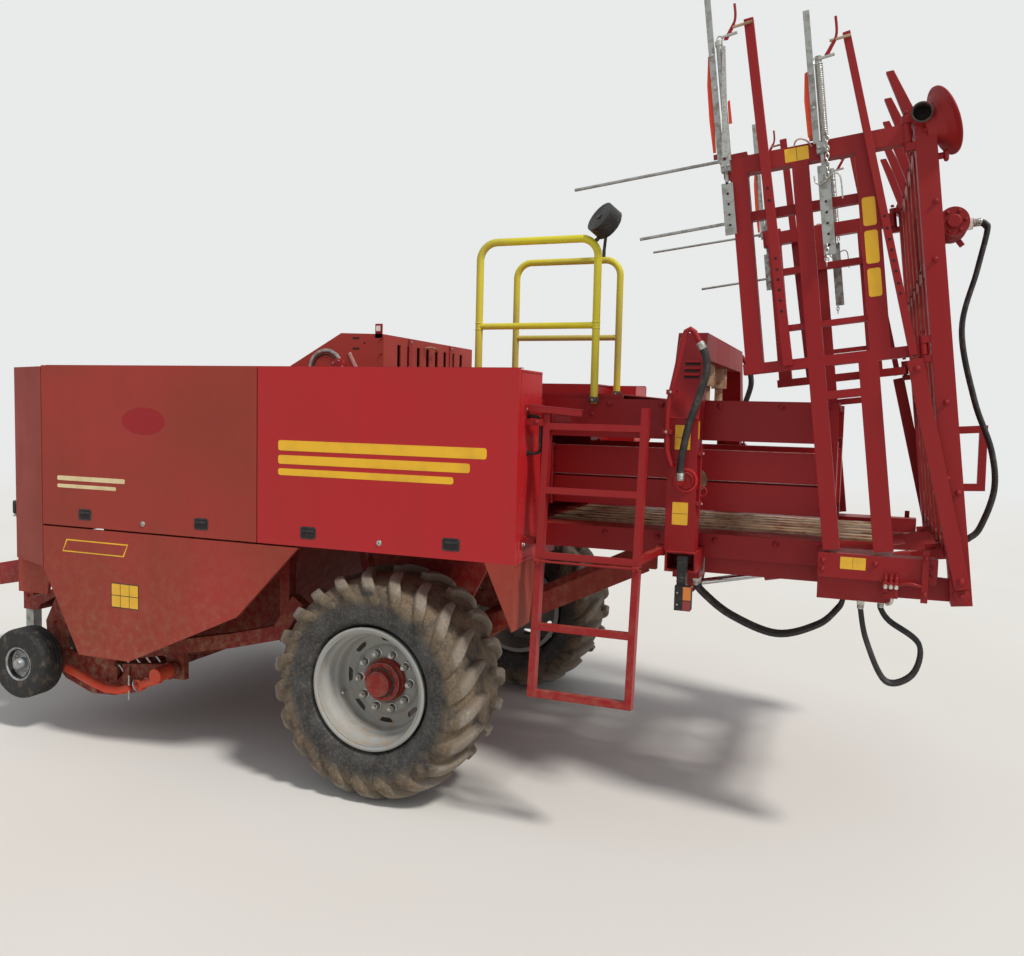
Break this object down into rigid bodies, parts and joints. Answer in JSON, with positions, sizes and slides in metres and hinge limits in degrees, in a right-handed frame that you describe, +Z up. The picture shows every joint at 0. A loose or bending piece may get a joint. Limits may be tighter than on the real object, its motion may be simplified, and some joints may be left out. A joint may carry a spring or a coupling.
{
  "type": "square baler",
  "caption": "Towed square baler on one axle and a jack, with twine cabinets, pickup, bale chamber, ladder and a folded bale accumulator.",
  "frame": {"origin": "on the ground, under the middle of the machine's length and width", "axes": "+X rearward along the machine, +Y to its right, +Z up"},
  "size_m": [6.8686, 2.5307, 3.7035],
  "materials": {
    "faded_red_paint": "faded satin",
    "crimson_paint": "satin",
    "dark_red_paint": "dusty satin",
    "orange_red_paint": "satin",
    "yellow_paint": "worn satin",
    "grey_rim_paint": "satin",
    "tyre_rubber": "dusty matte",
    "bare_steel": "worn",
    "galvanised_steel": "dull",
    "grey_cast": "dusty",
    "hose_rubber": "satin",
    "rusty_slats": "rusty",
    "black_plastic": "matte"
  },
  "bodies": {
    "machine": {"main_frame": "dark_red_paint", "bulkhead": "dark_red_paint", "outriggers": "dark_red_paint", "under_frame": "dark_red_paint", "axle": "dark_red_paint", "drawbar": "crimson_paint", "plunger_housing": "crimson_paint", "gearbox": "grey_cast", "feeder_housing": "dark_red_paint", "needle_yoke": "dark_red_paint", "cabinet_left": "dark_red_paint", "cabinet_right": "dark_red_paint", "nose_panels": "faded_red_paint", "skirt_left": "faded_red_paint", "skirt_right": "faded_red_paint", "top_hood": "crimson_paint", "deck": "faded_red_paint", "guard_rails": "yellow_paint", "ladder_upper": "crimson_paint", "chamber_sides": "crimson_paint", "chamber_floor": "rusty_slats", "chamber_roof": "dark_red_paint", "density_hoop": "crimson_paint", "density_cylinders": "bare_steel", "cylinder_forks": "crimson_paint", "lamps": "black_plastic", "accumulator_base": "dark_red_paint", "base_hoses": "hose_rubber"},
    "jack": {"jack_leg": "bare_steel"},
    "flywheel": {"flywheel": "crimson_paint"},
    "pickup": {"pickup_frame": "dark_red_paint", "gauge_arms": "orange_red_paint"},
    "pickup_reel": {"pickup_reel": "bare_steel"},
    "gauge_wheel_left": {"gauge_wheel_left": "tyre_rubber"},
    "gauge_wheel_right": {"gauge_wheel_right": "tyre_rubber"},
    "wheel_left": {"tyre_left": "tyre_rubber", "rim_left": "grey_rim_paint"},
    "wheel_right": {"tyre_right": "tyre_rubber", "rim_right": "grey_rim_paint"},
    "door_left_front": {"door_left_front": "faded_red_paint"},
    "door_left_rear": {"door_left_rear": "crimson_paint"},
    "door_right_front": {"door_right_front": "faded_red_paint"},
    "door_right_rear": {"door_right_rear": "crimson_paint"},
    "ladder_foot": {"ladder_lower": "crimson_paint"},
    "table": {"table_frame": "crimson_paint", "table_motor": "dark_red_paint", "table_hoses": "hose_rubber"},
    "table_barrels": {"table_barrels": "crimson_paint"},
    "table_rods": {"table_rods": "bare_steel"},
    "wing_left": {"wing_left": "crimson_paint", "wing_bars_left": "galvanised_steel"},
    "wing_right": {"wing_right": "crimson_paint", "wing_bars_right": "galvanised_steel"}
  },
  "joints": [
    {"name": "wheel_left_spin", "type": "hinge", "parent": "machine", "child": "wheel_left", "pos_m": [0.64, -1.005, 0.56], "axis": [0, 1, 0], "continuous": true},
    {"name": "wheel_right_spin", "type": "hinge", "parent": "machine", "child": "wheel_right", "pos_m": [0.64, 1.005, 0.56], "axis": [0, 1, 0], "continuous": true},
    {"name": "jack_slide", "type": "slide", "parent": "machine", "child": "jack", "axis": [0, 0, 1], "range_m": [0, 0.35]},
    {"name": "flywheel_spin", "type": "hinge", "parent": "machine", "child": "flywheel", "pos_m": [-1.82, 0, 1.12], "axis": [1, 0, 0], "continuous": true},
    {"name": "pickup_lift", "type": "hinge", "parent": "machine", "child": "pickup", "pos_m": [-0.79, 0, 0.4], "axis": [0, -1, 0], "range_deg": [0, 13]},
    {"name": "reel_spin", "type": "hinge", "parent": "pickup", "child": "pickup_reel", "pos_m": [-1.44, 0, 0.5], "axis": [0, 1, 0], "continuous": true},
    {"name": "gauge_wheel_left_spin", "type": "hinge", "parent": "pickup", "child": "gauge_wheel_left", "pos_m": [-1.64, -1.15, 0.4], "axis": [0, 1, 0], "continuous": true},
    {"name": "gauge_wheel_right_spin", "type": "hinge", "parent": "pickup", "child": "gauge_wheel_right", "pos_m": [-1.64, 1.15, 0.4], "axis": [0, 1, 0], "continuous": true},
    {"name": "door_left_front_hinge", "type": "hinge", "parent": "machine", "child": "door_left_front", "pos_m": [-0.694, -1.21, 2.09], "axis": [-1, 0, 0], "range_deg": [0, 90]},
    {"name": "door_left_rear_hinge", "type": "hinge", "parent": "machine", "child": "door_left_rear", "pos_m": [0.7015, -1.21, 2.09], "axis": [-1, 0, 0], "range_deg": [0, 90]},
    {"name": "door_right_front_hinge", "type": "hinge", "parent": "machine", "child": "door_right_front", "pos_m": [-0.694, 1.21, 2.09], "axis": [1, 0, 0], "range_deg": [0, 90]},
    {"name": "door_right_rear_hinge", "type": "hinge", "parent": "machine", "child": "door_right_rear", "pos_m": [0.7015, 1.21, 2.09], "axis": [1, 0, 0], "range_deg": [0, 90]},
    {"name": "ladder_fold", "type": "hinge", "parent": "machine", "child": "ladder_foot", "pos_m": [1.697, -1.21078, 1.24895], "axis": [-1, 0, 0], "range_deg": [0, 172]},
    {"name": "table_fold", "type": "hinge", "parent": "machine", "child": "table", "pos_m": [3.2, 0, 1.2], "axis": [0, 1, 0], "range_deg": [0, 97]},
    {"name": "barrel_pivot", "type": "hinge", "parent": "table", "child": "table_barrels", "pos_m": [3.11833, 0, 1.29072], "axis": [0, 1, 0], "range_deg": [-98, 2]},
    {"name": "rod_slide", "type": "slide", "parent": "table_barrels", "child": "table_rods", "axis": [-0.9781, 0, -0.2082], "range_m": [0, 0.19]},
    {"name": "wing_left_fold", "type": "hinge", "parent": "table", "child": "wing_left", "pos_m": [3.01064, -0.87, 2.18426], "axis": [-0.1219, 0, 0.9925], "range_deg": [0, 90]},
    {"name": "wing_right_fold", "type": "hinge", "parent": "table", "child": "wing_right", "pos_m": [3.01064, 0.87, 2.18426], "axis": [0.1219, 0, -0.9925], "range_deg": [0, 90]}
  ],
  "couplings": [
    {"joint": "barrel_pivot", "follows": "table_fold", "ratio": -0.97333},
    {"joint": "rod_slide", "follows": "table_fold", "m_per_rad": 0.10318}
  ]
}
